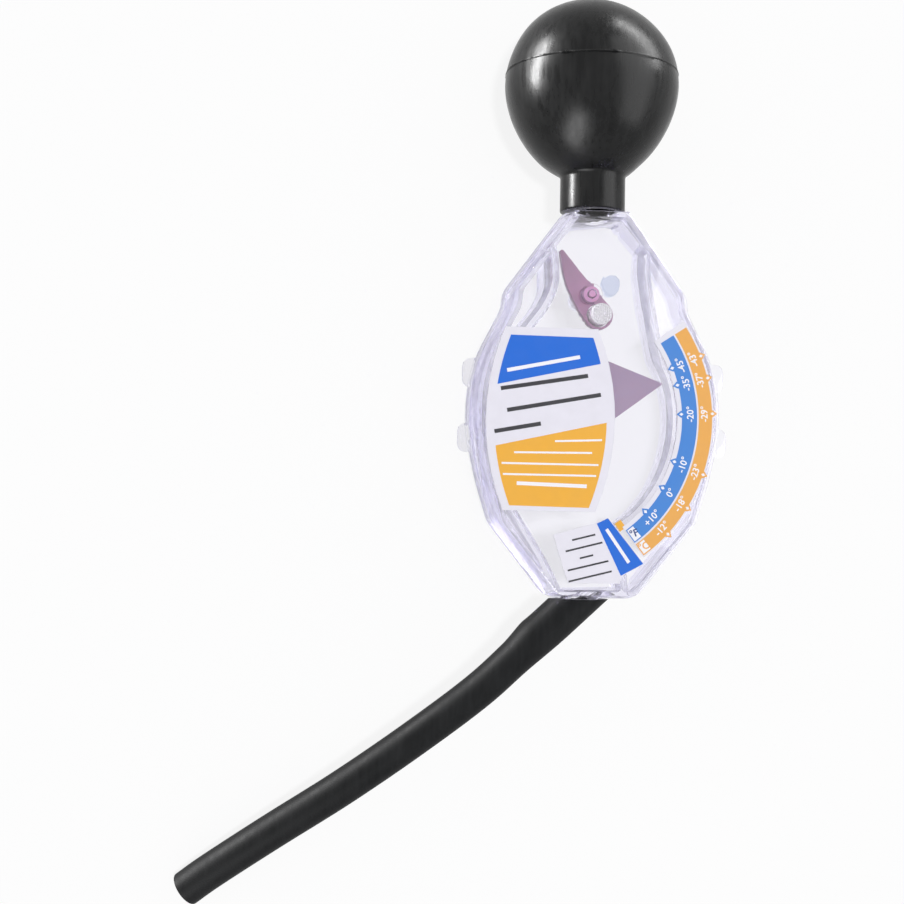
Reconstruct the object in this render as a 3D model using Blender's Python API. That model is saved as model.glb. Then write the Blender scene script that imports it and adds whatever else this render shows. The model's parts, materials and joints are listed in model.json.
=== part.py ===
"""Dial type antifreeze tester, lying on its back with the dial up.

A rubber squeeze bulb draws coolant through the pickup hose into a clear two-shell
housing. A weighted pointer swings over the dial with the density of the coolant, and a
small weighted arm shows that the chamber holds enough of it.

World frame: +X right as the dial is read, +Y towards the bulb, +Z out of the dial. The
origin is under the middle of the bulb, housing and nozzle, on the surface that the bulb
and the end of the hose lie on. The housing has its own frame, carried by the empty
"tester": the middle of its top edge, on the plane where the shells meet. Places in it are
told as across, down and height.
"""

import math

import bmesh
import bpy
from mathutils import Vector

MM = 0.001

# Clearances
SEAT_GAP = 0.3 * MM
RUNNING_GAP = 0.3 * MM
LABEL_GAP = 0.15 * MM
OVERRUN = 1.0 * MM
TAB_OVERRUN = 1.2 * MM
WALL_OVERRUN = 1.4 * MM
POCKET_OVERRUN = 2.0 * MM

# Housing
HOUSING_LENGTH = 112.1 * MM
HOUSING_HALF_WIDTH = 37.4 * MM
HALF_DEPTH = 11.0 * MM
FLANGE_THICKNESS = 1.2 * MM
FLANGE_LEDGE = 1.0 * MM
WALL_DRAFT = 2.2 * MM
END_DRAFT_SHARE = 0.3
EDGE_ROUND = 1.0 * MM
EDGE_BREAK_SHARE = 0.3
SIDE_WALL = 1.8 * MM
FACE_WALL = 2.0 * MM
OUTLINE_SHARES = (
    (0.260, 0.000, 0.020),
    (0.730, 0.214, 0.020),
    (0.736, 0.255, 0.018),
    (0.932, 0.384, 0.040),
    (0.992, 0.468, 0.036),
    (1.000, 0.556, 0.030),
    (0.971, 0.620, 0.030),
    (0.917, 0.701, 0.036),
    (0.842, 0.780, 0.018),
    (0.819, 0.806, 0.018),
    (0.355, 1.000, 0.030),
)
CORNER_STEPS = 3
CORNER_SIDE_SHARE = 0.48

# Ear tabs on the flange, two a side
TAB_PROUD = 2.1 * MM
TAB_THICKNESS = 0.9 * MM
TAB_LENGTH = 8.4 * MM
TAB_ROUND = 2.6 * MM
TAB_DOWN_SHARES = (0.424, 0.592)
TAB_ROOT = 6.0 * MM

# Chamber walls between the shells, as places on their inner faces
CHAMBER_WALL = 2.0 * MM
WALL_STEP_ANGLE = math.radians(11)
LEFT_WALL_SHARES = (
    (-0.390, 0.062),
    (-0.345, 0.107),
    (-0.324, 0.152),
    (-0.329, 0.205),
    (-0.401, 0.263),
    (-0.519, 0.317),
    (-0.682, 0.393),
    (-0.780, 0.482),
    (-0.805, 0.562),
    (-0.778, 0.651),
    (-0.695, 0.731),
    (-0.596, 0.789),
    (-0.398, 0.894),
    (-0.257, 0.986),
)
RIGHT_ARC_TOP = math.radians(30)
RIGHT_ARC_FOOT = math.radians(-58)
# Above and below its arc the right wall's second share is of what is left to the arc's end
RIGHT_WALL_TOP_SHARES = (
    (0.364, 0.166),
    (0.334, 0.263),
    (0.324, 0.408),
    (0.345, 0.563),
    (0.385, 0.764),
)
RIGHT_WALL_FOOT_SHARES = (
    (0.096, 0.308),
    (0.168, 0.567),
    (0.190, 0.921),
)

# Dial pointer, a weighted vane, and the centre that it turns about
DIAL_SHARES = (-0.4278, 0.5397)
POINTER_REACH = 36.2 * MM
POINTER_TIP_GAP = 1.2 * MM
POINTER_REST = math.radians(16.8)
VANE_SHARES = (
    (1.000, 0.000, 0.010),
    (0.480, 0.398, 0.080),
    (0.030, 0.280, 0.120),
    (-0.190, 0.060, 0.110),
    (-0.190, -0.210, 0.110),
    (-0.040, -0.335, 0.080),
    (0.110, -0.320, 0.060),
)
POINTER_HUB_RADIUS = 4.0 * MM
POINTER_SLUG_RADIUS = 2.4 * MM
POINTER_SLUG_SHARES = (-0.050, -0.212)

# Level arm, a small tapered float with a weight at its round end
LEVEL_SHARES = (-0.0680, 0.2221)
LEVEL_REACH = 15.6 * MM
LEVEL_TAIL = 6.2 * MM
LEVEL_TAIL_RADIUS = 4.1 * MM
LEVEL_TIP_RADIUS = 0.5 * MM
LEVEL_BELLY = 3.3
LEVEL_REST = math.radians(30.7)
LEVEL_HUB_RADIUS = 2.3 * MM
LEVEL_SLUG_RADIUS = 3.1 * MM
LEVEL_SLUG_PROUD = 4.1 * MM

# The vane lies close under the dial face, the level arm deeper
PLATE_THICKNESS = 2.6 * MM
VANE_TOP_GAP = 1.2 * MM
ARM_TOP_GAP = 6.0 * MM
HUB_TOP_GAP = 0.8 * MM
HUB_LENGTH = 8.0 * MM
AXLE_RADIUS = 1.0 * MM
AXLE_SEAT_DEPTH = 1.2 * MM
BOSS_WALL = 1.7 * MM
SLUG_PROUD = 0.4 * MM

# Round post on the back shell beside the level arm
POST_RADIUS = 2.65 * MM
POST_HEIGHT = 3.0 * MM
POST_SHARES = (0.1497, 0.1767)

# Bulb and the spout it is pushed on
BULB_RADIUS = 25.4 * MM
BULB_WALL = 2.4 * MM
BULB_LENGTH = 62.8 * MM
BULB_TAPER = 29.3 * MM
BULB_FULLNESS = 1.8
NECK_RADIUS = 9.5 * MM
NECK_FILLET = 0.8 * MM
PARTING_RIDGE = 0.3 * MM
PARTING_WIDTH = 0.9 * MM
PARTING_RISE = 3.5 * MM
SPOUT_RADIUS = 6.0 * MM
SPOUT_BORE = 3.4 * MM
SPOUT_LENGTH = 12.0 * MM
BARB_PROUD = 0.5 * MM
BARB_PITCH = 3.5 * MM

# Nozzle at the foot of the housing, and the hose pushed on it
NOZZLE_ACROSS = -3.1 * MM
NOZZLE_ANGLE = math.radians(43)
NOZZLE_LENGTH = 18.0 * MM
NOZZLE_RADIUS = 4.0 * MM
NOZZLE_BORE = 2.6 * MM
HOSE_RADIUS = 5.2 * MM
HOSE_BORE = 3.6 * MM
HOSE_STRETCHED_WALL = 1.2 * MM
HOSE_SHOULDER = 4.0 * MM
HOSE_STEP = 12.0 * MM
# Points that the free hose passes, across, down and up from where the nozzle starts
HOSE_ROUTE = (
    (-28.6 * MM, 27.1 * MM, -2.0 * MM),
    (-47.1 * MM, 41.7 * MM, -5.0 * MM),
    (-67.1 * MM, 56.3 * MM, -8.8 * MM),
    (-87.4 * MM, 70.0 * MM, -13.2 * MM),
    (-104.4 * MM, 82.0 * MM, -17.8 * MM),
    (-112.1 * MM, 88.0 * MM, -20.2 * MM),
)

# Labels on the front face
LABEL_THICKNESS = 0.25 * MM
TITLE_SHARES = (-0.3797, 0.5459)
TITLE_HALF_LENGTH = 26.0 * MM
TITLE_HALF_WIDTH = 18.5 * MM
TITLE_END_HALF_WIDTH = 13.3 * MM
SCALE_INNER = 38.4 * MM
SCALE_OUTER = 49.0 * MM
SCALE_TOP = math.radians(35.5)
SCALE_FOOT = math.radians(-53.4)
# The mix label's corners from the dial's centre, of the scale label's outer radius
MIX_SHARES = (
    (0.063, 0.682),
    (0.312, 0.608),
    (0.382, 0.576),
    (0.598, 0.841),
    (0.461, 0.916),
    (0.458, 0.957),
    (0.153, 0.957),
)

ROUND_STEPS = 28
SPOUT_STEPS = 24
BULB_STEPS = 40
BULB_ARC_STEPS = 14
LABEL_BOW_STEPS = 10
LABEL_ARC_STEPS = 18
HOSE_BEVEL_STEPS = 4

# Derived places, in the housing's frame
DIAL_ACROSS = DIAL_SHARES[0] * HOUSING_HALF_WIDTH
DIAL_DOWN = DIAL_SHARES[1] * HOUSING_LENGTH
NOZZLE_DROP = NOZZLE_LENGTH * math.sin(NOZZLE_ANGLE) + NOZZLE_RADIUS * math.cos(NOZZLE_ANGLE)
TOP_Y = (HOUSING_LENGTH + NOZZLE_DROP + BULB_LENGTH) / 2 - BULB_LENGTH
RIDGE_RADIUS = math.sqrt(BULB_RADIUS**2 - PARTING_RISE**2) + PARTING_RIDGE
MID_HEIGHT = max(BULB_RADIUS, RIDGE_RADIUS)
NOZZLE_ROOT = SIDE_WALL + NOZZLE_RADIUS / math.tan(NOZZLE_ANGLE)
INNER_HEIGHT = HALF_DEPTH - FACE_WALL
VANE_TOP = INNER_HEIGHT - VANE_TOP_GAP
ARM_TOP = INNER_HEIGHT - ARM_TOP_GAP
HUB_TOP = INNER_HEIGHT - HUB_TOP_GAP
BORE_RADIUS = AXLE_RADIUS + RUNNING_GAP
CHAMBER_RADIUS = POINTER_REACH + POINTER_TIP_GAP


def finish(name, colour, roughness, metallic=0.0, alpha=1.0):
    """A plain Principled material."""
    material = bpy.data.materials.new(name)
    material.use_nodes = True
    shader = material.node_tree.nodes["Principled BSDF"]
    shader.inputs["Base Color"].default_value = (*colour, 1.0)
    shader.inputs["Roughness"].default_value = roughness
    shader.inputs["Metallic"].default_value = metallic
    shader.inputs["Alpha"].default_value = alpha
    material.diffuse_color = (*colour, alpha)
    return material


def place(across, down, height=0.0):
    """A point of the housing's frame."""
    return Vector((across, -down, height))


def shared(shares):
    """A place on the housing's face from its shares of half width and length."""
    return shares[0] * HOUSING_HALF_WIDTH, shares[1] * HOUSING_LENGTH


def polar(radius, angle):
    """A place on the housing's face round the dial's centre, counter-clockwise from +X."""
    return DIAL_ACROSS + radius * math.cos(angle), DIAL_DOWN - radius * math.sin(angle)


def stepped(start, end, count):
    """count + 1 evenly spaced values from start to end."""
    return [start + (end - start) * i / count for i in range(count + 1)]


def rounded(corners):
    """A closed outline whose corners (x, y, reach) are turned into short curves."""
    outline = []
    for index, (x, y, reach) in enumerate(corners):
        corner = Vector((x, y))
        if not reach:
            outline.append((x, y))
            continue
        before = Vector(corners[index - 1][:2]) - corner
        after = Vector(corners[(index + 1) % len(corners)][:2]) - corner
        start = corner + before.normalized() * min(reach, before.length * CORNER_SIDE_SHARE)
        end = corner + after.normalized() * min(reach, after.length * CORNER_SIDE_SHARE)
        for t in stepped(0, 1, CORNER_STEPS):
            outline.append(tuple(start * (1 - t) ** 2 + corner * 2 * t * (1 - t) + end * t * t))
    return outline


def inset(outline, distance):
    """The closed outline moved inwards along its corner bisectors."""
    area = sum(
        a[0] * b[1] - b[0] * a[1] for a, b in zip(outline, outline[1:] + outline[:1])
    )
    inward = distance if area > 0 else -distance
    moved = []
    for index, point in enumerate(outline):
        here = Vector(point)
        back = (here - Vector(outline[index - 1])).normalized()
        ahead = (Vector(outline[(index + 1) % len(outline)]) - here).normalized()
        normal = Vector((-back.y - ahead.y, back.x + ahead.x))
        moved.append(tuple(here + normal * (inward / (1 + back.dot(ahead)))))
    return moved


def drafted(outline, distance):
    """The outline moved inwards for draft, less at its two ends than at its sides."""
    moved = inset(outline, distance)
    return [
        (x, start_y + (y - start_y) * END_DRAFT_SHARE)
        for (x, y), (_, start_y) in zip(moved, outline)
    ]


def smooth_path(points, steps):
    """Points of a Catmull-Rom curve through the given points, of any dimension."""
    knots = [Vector(p) for p in points]
    knots = [knots[0] * 2 - knots[1], *knots, knots[-1] * 2 - knots[-2]]
    path = []
    for a, b, c, d in zip(knots, knots[1:], knots[2:], knots[3:]):
        for step in range(steps):
            t = step / steps
            path.append(
                b + (c - a) * (t / 2)
                + (a * 2 - b * 5 + c * 4 - d) * (t * t / 2)
                + (b * 3 - a - c * 3 + d) * (t ** 3 / 2)
            )
    return [*path, knots[-2]]


def ribbon(path, thickness):
    """The closed outline between an open path and its copy moved to the path's left."""
    outer = []
    for index, here in enumerate(path):
        back = (here - path[index - 1]).normalized() if index else None
        ahead = (path[index + 1] - here).normalized() if index + 1 < len(path) else None
        along = (back or ahead) + (ahead or back)
        normal = Vector((along.y, -along.x)).normalized()
        outer.append(here + normal * thickness)
    return [tuple(p) for p in [*path, *reversed(outer)]]


def mesh_object(name, shapes, material=None, parent=None, smooth=False):
    """An object from closed shapes, each a list of rings of points that are bridged."""
    work = bmesh.new()
    for rings in shapes:
        loops = [[work.verts.new(p) for p in ring] for ring in rings]
        for lower, upper in zip(loops, loops[1:]):
            bridge(work, lower, upper)
        for loop in (loops[0], loops[-1]):
            if len(loop) > 2:
                work.faces.new(loop)
    bmesh.ops.recalc_face_normals(work, faces=work.faces)
    mesh = bpy.data.meshes.new(name)
    work.to_mesh(mesh)
    work.free()
    if smooth:
        mesh.shade_smooth()
        mesh.set_sharp_from_angle(angle=math.radians(40))
    thing = bpy.data.objects.new(name, mesh)
    bpy.context.scene.collection.objects.link(thing)
    if material:
        mesh.materials.append(material)
    thing.parent = parent
    return thing


def bridge(work, lower, upper):
    """Side faces between two loops, one of which may be a single point."""
    count = max(len(lower), len(upper))
    for i in range(count):
        corners = [
            lower[i % len(lower)],
            lower[(i + 1) % len(lower)],
            upper[(i + 1) % len(upper)],
            upper[i % len(upper)],
        ]
        work.faces.new(list(dict.fromkeys(corners)))


def prism(outline, low, high):
    """Rings of a straight prism on an outline of the housing's face."""
    return [[place(x, y, h) for x, y in outline] for h in (low, high)]


def loft(layers, side):
    """Rings through (outline, height) layers, on the front (+1) or the back (-1) side."""
    return [[place(x, y, side * h) for x, y in outline] for outline, h in layers]


def turned(profile, origin, axis, steps=ROUND_STEPS):
    """Rings of a profile of (radius, along) turned round an axis."""
    axis = axis.normalized()
    side = axis.orthogonal().normalized()
    other = axis.cross(side)
    rings = []
    for radius, along in profile:
        centre = origin + axis * along
        if not radius:
            rings.append([centre])
            continue
        turns = [math.tau * i / steps for i in range(steps)]
        rings.append(
            [centre + (side * math.cos(a) + other * math.sin(a)) * radius for a in turns]
        )
    return rings


def rod(radius, low, high, across=0.0, down=0.0, steps=ROUND_STEPS):
    """Rings of a plain cylinder that stands on the housing's face."""
    profile = ((radius, low), (radius, high))
    return turned(profile, place(across, down), Vector((0, 0, 1)), steps)


def barbed(radius, root, length):
    """Profile of a spout with three barbs, from a root inside the wall to its open end."""
    profile = [(radius, -root)]
    for barb in range(3):
        start = length - (3 - barb) * BARB_PITCH
        profile += [(radius, start), (radius + BARB_PROUD, start), (radius, start + BARB_PITCH)]
    return profile


def bore_profile(radius, root, length):
    """Profile of a bore from inside the housing to past a spout's open end."""
    return ((radius, -root - SIDE_WALL), (radius, length + OVERRUN))


def combine(target, operation, shapes, name):
    """Joins shapes to the target, or cuts them from it, with a hidden helper object."""
    attach(target, operation, mesh_object(name, shapes, parent=target.parent))


def attach(target, operation, helper):
    """Gives the target a Boolean with a helper object, which stays hidden."""
    helper.hide_render = True
    helper.display_type = "WIRE"
    modifier = target.modifiers.new(helper.name, "BOOLEAN")
    modifier.operation = operation
    modifier.object = helper


def housing_outline():
    """The closed outline of the shells' flange."""
    reach = HOUSING_LENGTH
    half = [
        (x * HOUSING_HALF_WIDTH, y * HOUSING_LENGTH, r * reach) for x, y, r in OUTLINE_SHARES
    ]
    return rounded(half + [(-x, y, r) for x, y, r in reversed(half)])


def tab_outlines():
    """Rounded rectangles for the ear tabs, rooted in the flange."""
    outlines = []
    for side in (-1, 1):
        for share in TAB_DOWN_SHARES:
            middle = share * HOUSING_LENGTH
            outer = side * (HOUSING_HALF_WIDTH + TAB_PROUD)
            if share == TAB_DOWN_SHARES[0]:
                outer -= side * TAB_PROUD / 2
            root = outer - side * TAB_ROOT
            low, high = middle - TAB_LENGTH / 2, middle + TAB_LENGTH / 2
            corners = [(root, low, 0), (outer, low, TAB_ROUND)]
            corners += [(outer, high, TAB_ROUND), (root, high, 0)]
            outlines.append(rounded(corners))
    return outlines


def chamber_walls():
    """Outlines of the left and right chamber walls."""
    left = smooth_path([shared(s) for s in LEFT_WALL_SHARES], 3)
    count = round((RIGHT_ARC_TOP - RIGHT_ARC_FOOT) / WALL_STEP_ANGLE)
    arc = [polar(CHAMBER_RADIUS, a) for a in stepped(RIGHT_ARC_TOP, RIGHT_ARC_FOOT, count)]
    above, below = arc[0][1], arc[-1][1]
    top = [(x * HOUSING_HALF_WIDTH, y * above) for x, y in RIGHT_WALL_TOP_SHARES]
    foot = [
        (x * HOUSING_HALF_WIDTH, below + y * (HOUSING_LENGTH - below))
        for x, y in RIGHT_WALL_FOOT_SHARES
    ]
    right = smooth_path([*top, *arc, *foot], 3)
    return ribbon(left, -CHAMBER_WALL), ribbon(right, CHAMBER_WALL)


def lining(outline, depth, top):
    """Layers of the shell's inside, a depth below its outer walls."""
    foot = inset(drafted(outline, FLANGE_LEDGE), depth)
    return [
        (foot, -POCKET_OVERRUN),
        (foot, FLANGE_THICKNESS),
        (inset(drafted(outline, FLANGE_LEDGE + WALL_DRAFT), depth), top),
    ]


def nozzle_axis():
    """Where the nozzle's axis leaves the housing, and its direction."""
    root = place(NOZZLE_ACROSS, HOUSING_LENGTH)
    return root, Vector((-math.cos(NOZZLE_ANGLE), -math.sin(NOZZLE_ANGLE), 0))


def shell(name, side, material, parent):
    """One moulded shell with its half of the chamber walls, spout and nozzle."""
    outline = housing_outline()
    wall_top = HALF_DEPTH - EDGE_ROUND
    rim = FLANGE_LEDGE + WALL_DRAFT
    edge_break = EDGE_ROUND * EDGE_BREAK_SHARE
    layers = [
        (drafted(outline, FLANGE_LEDGE), -OVERRUN),
        (drafted(outline, FLANGE_LEDGE), FLANGE_THICKNESS),
        (drafted(outline, rim), wall_top),
        (drafted(outline, rim + edge_break), HALF_DEPTH - edge_break),
        (drafted(outline, rim + EDGE_ROUND), HALF_DEPTH),
    ]
    body = mesh_object(name, [loft(layers, side)], material, parent)
    low, high = sorted((-OVERRUN * side, FLANGE_THICKNESS * side))
    combine(body, "UNION", [prism(outline, low, high)], f"{name}_flange")
    low, high = sorted((-TAB_OVERRUN * side, TAB_THICKNESS * side))
    combine(body, "UNION", [prism(tab, low, high) for tab in tab_outlines()], f"{name}_tabs")

    up = Vector((0, 1, 0))
    root, along = nozzle_axis()
    spout_side = barbed(SPOUT_RADIUS, SIDE_WALL, SPOUT_LENGTH)
    nozzle_side = barbed(NOZZLE_RADIUS, NOZZLE_ROOT, NOZZLE_LENGTH)
    spout = turned(spout_side, place(0, 0), up, SPOUT_STEPS)
    nozzle = turned(nozzle_side, root, along, SPOUT_STEPS)
    combine(body, "UNION", [spout, nozzle], f"{name}_spouts")

    pocket = loft(lining(outline, SIDE_WALL, INNER_HEIGHT), side)
    combine(body, "DIFFERENCE", [pocket], f"{name}_pocket")

    root_height = INNER_HEIGHT + FACE_WALL / 2
    low, high = sorted((-WALL_OVERRUN * side, root_height * side))
    shapes = [prism(wall, low, high) for wall in chamber_walls()]
    walls = mesh_object(f"{name}_chamber", shapes, parent=parent)
    core = loft(lining(outline, SIDE_WALL / 2, root_height), side)
    combine(walls, "INTERSECT", [core], f"{name}_core")
    attach(body, "UNION", walls)

    pivots = (shared(DIAL_SHARES), shared(LEVEL_SHARES))
    boss_radius = BORE_RADIUS + BOSS_WALL
    if side > 0:
        start = HUB_TOP + RUNNING_GAP
        seat = INNER_HEIGHT + AXLE_SEAT_DEPTH
    else:
        start = HUB_TOP - HUB_LENGTH - RUNNING_GAP
        seat = -INNER_HEIGHT
    bosses = []
    seats = []
    for across, down in pivots:
        low, high = sorted((start, side * root_height))
        bosses.append(rod(boss_radius, low, high, across, down))
        low, high = sorted((start - side * OVERRUN, seat))
        seats.append(rod(BORE_RADIUS, low, high, across, down))
    if side < 0:
        post_top = POST_HEIGHT - INNER_HEIGHT
        bosses.append(rod(POST_RADIUS, -root_height, post_top, *shared(POST_SHARES)))
    combine(body, "UNION", bosses, f"{name}_bosses")

    spout_side = bore_profile(SPOUT_BORE, SIDE_WALL, SPOUT_LENGTH)
    nozzle_side = bore_profile(NOZZLE_BORE, NOZZLE_ROOT, NOZZLE_LENGTH)
    spout_bore = turned(spout_side, place(0, 0), up, SPOUT_STEPS)
    nozzle_bore = turned(nozzle_side, root, along, SPOUT_STEPS)
    combine(body, "DIFFERENCE", [spout_bore, nozzle_bore, *seats], f"{name}_bores")

    reach = HOUSING_LENGTH * 2
    square = [(-reach, -reach), (reach, -reach), (reach, reach), (-reach, reach)]
    low, high = sorted((side * SEAT_GAP / 2, -side * HALF_DEPTH * 2))
    combine(body, "DIFFERENCE", [prism(square, low, high)], f"{name}_halving")
    return body


def swing_empty(name, across, down, angle, parent):
    """An empty on a joint's axis."""
    empty = bpy.data.objects.new(name, None)
    bpy.context.scene.collection.objects.link(empty)
    empty.parent = parent
    empty.location = place(across, down)
    empty.rotation_euler = (0, 0, angle)
    return empty


def swinging_plate(name, outline, top, hub_radius, slug, slug_radius, material, parent):
    """A plate on a hub, with the axle's bore and the weight's hole."""
    low = top - PLATE_THICKNESS
    plate = mesh_object(name, [prism(outline, low, top)], material, parent)
    hub = rod(hub_radius, HUB_TOP - HUB_LENGTH, HUB_TOP)
    combine(plate, "UNION", [hub], f"{name}_hub")
    bore = rod(BORE_RADIUS, HUB_TOP - HUB_LENGTH - OVERRUN, HUB_TOP + OVERRUN)
    hole = rod(slug_radius + SEAT_GAP, low - OVERRUN, top + OVERRUN, *slug)
    combine(plate, "DIFFERENCE", [bore, hole], f"{name}_holes")
    return plate


def weight(name, slug, radius, top, proud, material, parent):
    """A steel slug that stands proud of its plate, and a little out of the plate's back."""
    low = top - PLATE_THICKNESS - SLUG_PROUD
    return mesh_object(
        name, [rod(radius, low, top + proud, *slug)], material, parent, smooth=True
    )


def axle(name, across, down, material, parent):
    """A steel axle between its seats in the two shells."""
    low = SEAT_GAP - INNER_HEIGHT
    high = INNER_HEIGHT + AXLE_SEAT_DEPTH - SEAT_GAP
    shape = rod(AXLE_RADIUS, low, high, across, down, ROUND_STEPS // 2)
    return mesh_object(name, [shape], material, parent, smooth=True)


def dial_pointer(vane, steel, parent):
    """The vane with its weight."""
    pivot = swing_empty("pointer_axis", *shared(DIAL_SHARES), POINTER_REST, parent)
    reach = POINTER_REACH
    outline = rounded([(x * reach, -y * reach, r * reach) for x, y, r in VANE_SHARES])
    slug = (POINTER_SLUG_SHARES[0] * reach, -POINTER_SLUG_SHARES[1] * reach)
    radius = POINTER_SLUG_RADIUS
    hub = POINTER_HUB_RADIUS
    swinging_plate("dial_pointer", outline, VANE_TOP, hub, slug, radius, vane, pivot)
    weight("pointer_weight", slug, radius, VANE_TOP, SLUG_PROUD, steel, pivot)


def level_arm(vane, steel, parent):
    """The float arm, bellied on its left, with its weight; its frame has the tip straight up."""
    pivot = swing_empty("level_axis", *shared(LEVEL_SHARES), LEVEL_REST, parent)
    span = LEVEL_REACH - LEVEL_TIP_RADIUS + LEVEL_TAIL
    lean = math.asin((LEVEL_TAIL_RADIUS - LEVEL_TIP_RADIUS) / span)
    tail = [
        (LEVEL_TAIL_RADIUS * math.cos(a), LEVEL_TAIL + LEVEL_TAIL_RADIUS * math.sin(a))
        for a in stepped(-lean, math.pi, ROUND_STEPS // 2)
    ]
    length = LEVEL_REACH + LEVEL_TAIL
    belly = [
        (-LEVEL_TAIL_RADIUS * (1 - (1 - t) ** LEVEL_BELLY), length * t - LEVEL_REACH)
        for t in stepped(1, 0.1, 9)[1:]
    ]
    tip_down = LEVEL_TIP_RADIUS - LEVEL_REACH
    tip = [
        (LEVEL_TIP_RADIUS * math.cos(a), tip_down + LEVEL_TIP_RADIUS * math.sin(a))
        for a in stepped(math.pi, math.tau - lean, CORNER_STEPS)
    ]
    slug = (0.0, LEVEL_TAIL)
    radius = LEVEL_SLUG_RADIUS
    outline = tail + belly + tip
    swinging_plate("level_arm", outline, ARM_TOP, LEVEL_HUB_RADIUS, slug, radius, vane, pivot)
    weight("level_weight", slug, radius, ARM_TOP, LEVEL_SLUG_PROUD, steel, pivot)


def tapered(radius, taper, neck):
    """Points (radius, below) of a bulb's lower half, from its widest place to a neck's radius."""
    reach = math.acos((neck / radius) ** (BULB_FULLNESS / 2))
    power = 2 / BULB_FULLNESS
    return [
        (radius * math.cos(a) ** power, taper * math.sin(a) ** power)
        for a in stepped(0, reach, BULB_ARC_STEPS)
    ]


def squeeze_bulb(material, parent):
    """The hollow bulb, a ball that tapers to its neck, turned round the housing's long axis."""
    centre = BULB_LENGTH - BULB_RADIUS
    inner = BULB_RADIUS - BULB_WALL
    inner_taper = BULB_TAPER - BULB_WALL
    bore = SPOUT_RADIUS + BARB_PROUD + SEAT_GAP
    above, below = (
        math.acos((PARTING_RISE + side * PARTING_WIDTH / 2) / BULB_RADIUS) for side in (1, -1)
    )
    outer = [
        (BULB_RADIUS * math.sin(a), centre + BULB_RADIUS * math.cos(a))
        for a in [*stepped(0, above, BULB_ARC_STEPS), *stepped(below, math.pi / 2, 2)]
    ]
    outer.insert(BULB_ARC_STEPS + 1, (RIDGE_RADIUS, centre + PARTING_RISE))
    lower = [
        (r, centre - d) for r, d in tapered(BULB_RADIUS, BULB_TAPER, NECK_RADIUS + NECK_FILLET)
    ]
    waist_point = Vector(lower[-1])
    steepness = (centre - lower[-1][1]) / BULB_TAPER * BULB_RADIUS / lower[-1][0]
    slope = Vector((-BULB_RADIUS / BULB_TAPER * steepness ** (BULB_FULLNESS - 1), -1))
    corner = waist_point + slope * (NECK_FILLET / -slope.x)
    neck_top = Vector((NECK_RADIUS, corner.y - (corner - waist_point).length))
    fillet = [
        tuple(waist_point * (1 - t) ** 2 + corner * 2 * t * (1 - t) + neck_top * t * t)
        for t in stepped(0, 1, CORNER_STEPS)[1:]
    ]
    foot = [(NECK_RADIUS, SEAT_GAP), (bore, SEAT_GAP)]
    hollow_lower = [(r, centre - d) for r, d in reversed(tapered(inner, inner_taper, bore))]
    hollow_upper = [
        (inner * math.sin(a), centre + inner * math.cos(a))
        for a in stepped(math.pi / 2, 0, BULB_ARC_STEPS)[1:-1]
    ]
    hollow = [*hollow_lower, *hollow_upper, (0, centre + inner)]
    profile = [(0, BULB_LENGTH), *outer[1:], *lower[1:], *fillet, *foot, *hollow]
    shape = turned(profile, place(0, 0), Vector((0, 1, 0)), BULB_STEPS)
    return mesh_object("squeeze_bulb", [shape], material, parent, smooth=True)


def hose_middle():
    """Points down the middle of the hose, from inside the housing to its free end."""
    root, along = nozzle_axis()
    seat_end = root + along * NOZZLE_LENGTH
    shoulder_end = seat_end + along * HOSE_SHOULDER
    route = [root + place(*point) for point in HOSE_ROUTE]
    curve = smooth_path([shoulder_end, *route], 8)
    travelled = [0.0]
    for a, b in zip(curve, curve[1:]):
        travelled.append(travelled[-1] + (b - a).length)
    count = round(travelled[-1] / HOSE_STEP)
    free = []
    for wanted in stepped(0, travelled[-1], count):
        index = min(sum(t < wanted for t in travelled[1:]), len(curve) - 2)
        share = (wanted - travelled[index]) / (travelled[index + 1] - travelled[index])
        free.append(curve[index].lerp(curve[index + 1], share))
    return [root - along * NOZZLE_LENGTH / 2, seat_end, *free]


def tube(name, points, radii, material=None, parent=None):
    """A closed tube along points, each with its own radius, as a mesh object."""
    curve = bpy.data.curves.new(name, "CURVE")
    curve.dimensions = "3D"
    curve.bevel_depth = 1.0
    curve.bevel_resolution = HOSE_BEVEL_STEPS
    curve.use_fill_caps = True
    spline = curve.splines.new("POLY")
    spline.points.add(len(points) - 1)
    for knot, point, radius in zip(spline.points, points, radii):
        knot.co = (*point, 1)
        knot.radius = radius
    holder = bpy.data.objects.new(name, curve)
    mesh = bpy.data.meshes.new_from_object(holder)
    bpy.data.objects.remove(holder)
    bpy.data.curves.remove(curve)
    mesh.name = name
    thing = bpy.data.objects.new(name, mesh)
    bpy.context.scene.collection.objects.link(thing)
    thing.parent = parent
    if material:
        mesh.materials.append(material)
    return thing


def pickup_hose(material, parent):
    """The hollow hose, stretched over the nozzle and ending against the housing's foot."""
    middle = hose_middle()
    seat = NOZZLE_RADIUS + BARB_PROUD + SEAT_GAP
    free = len(middle) - 2
    outer = [seat + HOSE_STRETCHED_WALL] * 2 + [HOSE_RADIUS] * free
    hose = tube("pickup_hose", middle, outer, material, parent)
    inner = [seat] * 2 + [HOSE_BORE] * free
    end = middle[-1] + (middle[-1] - middle[-2]).normalized() * OVERRUN
    bore = tube("hose_bore", [*middle[:-1], end], inner, parent=parent)
    attach(hose, "DIFFERENCE", bore)
    foot = HOUSING_LENGTH + SEAT_GAP
    corners = [(-HOUSING_HALF_WIDTH, 0), (HOUSING_HALF_WIDTH, 0)]
    corners += [(HOUSING_HALF_WIDTH, foot), (-HOUSING_HALF_WIDTH, foot)]
    combine(hose, "DIFFERENCE", [prism(corners, -HALF_DEPTH, HALF_DEPTH)], "hose_trim")


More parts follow.
